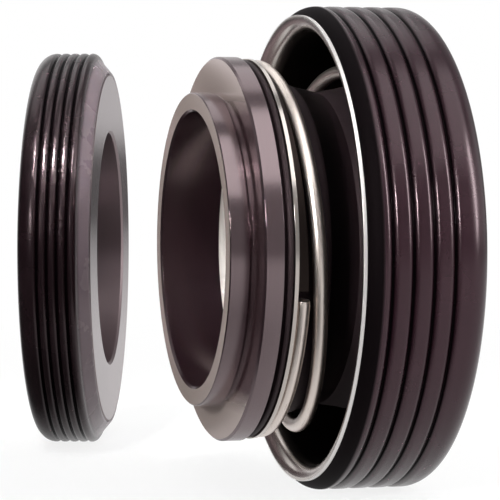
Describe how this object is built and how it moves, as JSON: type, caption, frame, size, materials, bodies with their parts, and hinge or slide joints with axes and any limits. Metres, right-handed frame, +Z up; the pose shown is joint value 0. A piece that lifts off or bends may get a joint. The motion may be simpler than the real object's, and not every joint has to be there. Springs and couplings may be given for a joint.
{
  "type": "mechanical face seal",
  "caption": "Mechanical face seal set: lapped ring on a bellows and coil spring in a ribbed, rubber-covered steel cup, with its loose ribbed seat standing beside it.",
  "frame": {"origin": "middle of the shaft bore in the neck of the cup", "axes": "+X along the shaft from the lapped nose to the back of the cup, +Z up, and the loose seat stands on the +Y side"},
  "size_m": [0.0506, 0.1308, 0.0688],
  "materials": {
    "silicon_carbide": "ground all over and lapped on the running face",
    "nitrile_rubber": "moulded, satin",
    "sheet_steel": "drawn stainless sheet, bright",
    "turned_steel": "turned stainless steel",
    "spring_wire": "drawn stainless wire, bright"
  },
  "bodies": {
    "cup": {"cup_shell": "sheet_steel", "cup_jacket": "nitrile_rubber", "tail_band": "sheet_steel", "bellows": "nitrile_rubber", "spring": "spring_wire", "seat_ring": "silicon_carbide", "seat_boot": "nitrile_rubber"},
    "face": {"face_ring": "silicon_carbide", "insert_ring": "turned_steel", "spring_plate": "sheet_steel"}
  },
  "joints": [
    {"name": "face_slide", "type": "slide", "parent": "cup", "child": "face", "axis": [1, 0, 0], "range_m": [0, 0.005], "stiffness_N_per_m": 660, "deforming": ["spring", "bellows"]}
  ]
}
